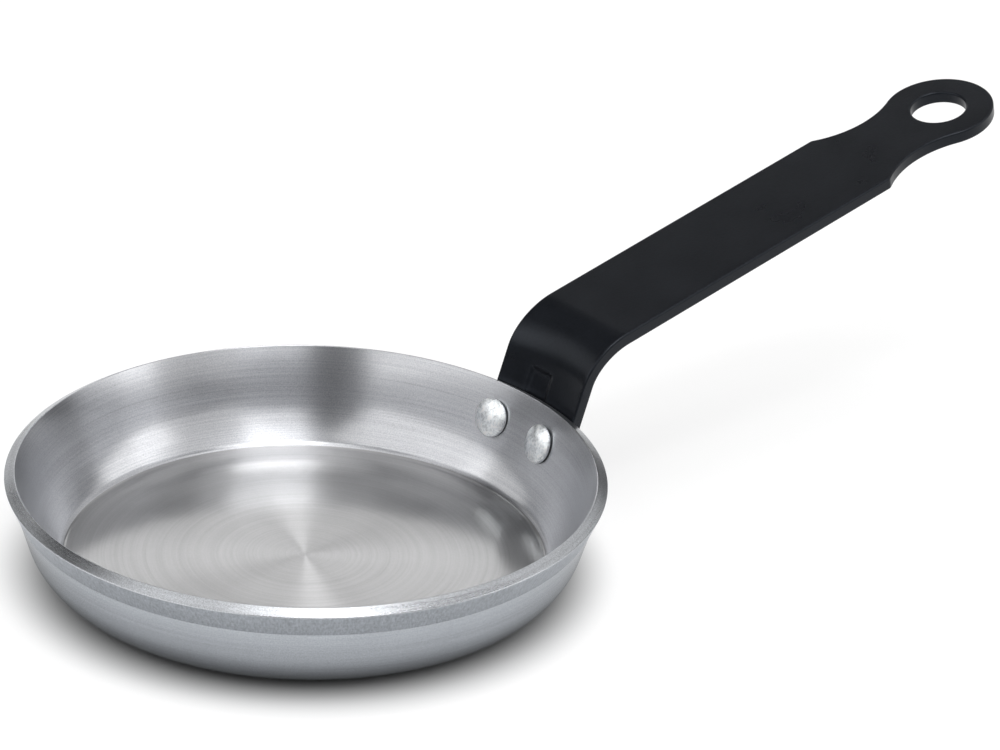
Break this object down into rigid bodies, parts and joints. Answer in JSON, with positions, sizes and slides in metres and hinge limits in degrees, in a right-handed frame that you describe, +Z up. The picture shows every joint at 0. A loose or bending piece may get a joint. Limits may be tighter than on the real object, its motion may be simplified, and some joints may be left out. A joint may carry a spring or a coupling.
{
  "type": "blini pan",
  "caption": "Small round steel blini pan with a low flared wall, bevelled rim and a black coated strip handle, riveted on, that rises to a rounded eye with a hanging hole.",
  "frame": {"origin": "centre of the pan's flat underside", "axes": "+X from the pan's middle along the handle to its eye; +Z up, out of the pan's mouth; +Y completes a right-handed frame"},
  "size_m": [0.2425, 0.12, 0.0615],
  "materials": {
    "pan_steel": "fine circular brushing, satin to semi-bright, with concentric turning marks on the floor",
    "handle_coat": "satin black epoxy coat",
    "rivet_metal": "bright, slightly peened"
  },
  "bodies": {
    "root": {"pan_body": "pan_steel", "handle": "handle_coat", "rivet_left": "rivet_metal", "rivet_right": "rivet_metal"}
  },
  "joints": []
}
